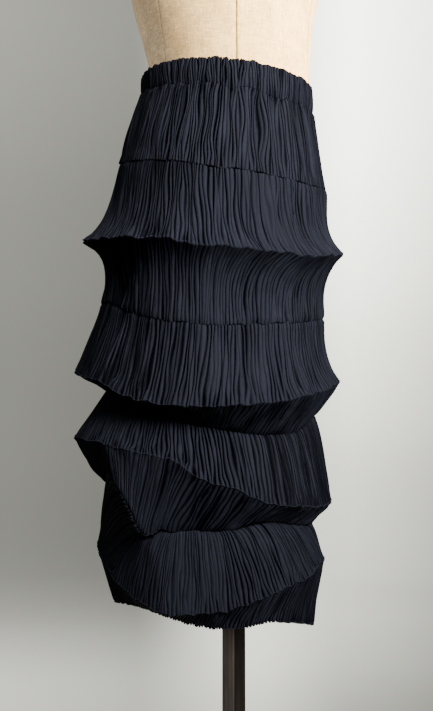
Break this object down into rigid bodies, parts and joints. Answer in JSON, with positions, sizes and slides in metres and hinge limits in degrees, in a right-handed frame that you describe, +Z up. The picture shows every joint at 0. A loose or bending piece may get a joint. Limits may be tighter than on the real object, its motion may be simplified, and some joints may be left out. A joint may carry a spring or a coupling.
{
  "type": "accordion pleated skirt on a dress form",
  "caption": "Tiered skirt of crinkle-pleated strips sewn into soft concertina ridges, with a gathered waistband, on a limbless linen dress form with a pole and round base.",
  "frame": {"origin": "centre of the underside of the base plate, under the pole, on the floor", "axes": "+Z up along the pole, -Y the way the figure faces, +X towards the figure's left"},
  "size_m": [0.385, 0.388, 1.5563],
  "materials": {
    "pleated_cloth": "blue-black crinkle-pleated cloth with a soft sheen",
    "waistband_cloth": "the same cloth gathered on elastic",
    "linen": "natural linen stretched over padding",
    "dark_steel": "dark brown-black satin paint"
  },
  "bodies": {
    "root": {"waistband": "waistband_cloth", "yoke": "pleated_cloth", "tier_1_upper": "pleated_cloth", "tier_1_lower": "pleated_cloth", "tier_2_upper": "pleated_cloth", "tier_2_lower": "pleated_cloth", "tier_3_upper": "pleated_cloth", "tier_3_lower": "pleated_cloth", "tier_4_upper": "pleated_cloth", "tier_4_lower": "pleated_cloth", "torso": "linen", "neck_cap": "dark_steel", "arm_plate_left": "dark_steel", "arm_plate_right": "dark_steel", "pole_socket": "dark_steel", "pole": "dark_steel", "base_collar": "dark_steel", "base_plate": "dark_steel"}
  },
  "joints": []
}
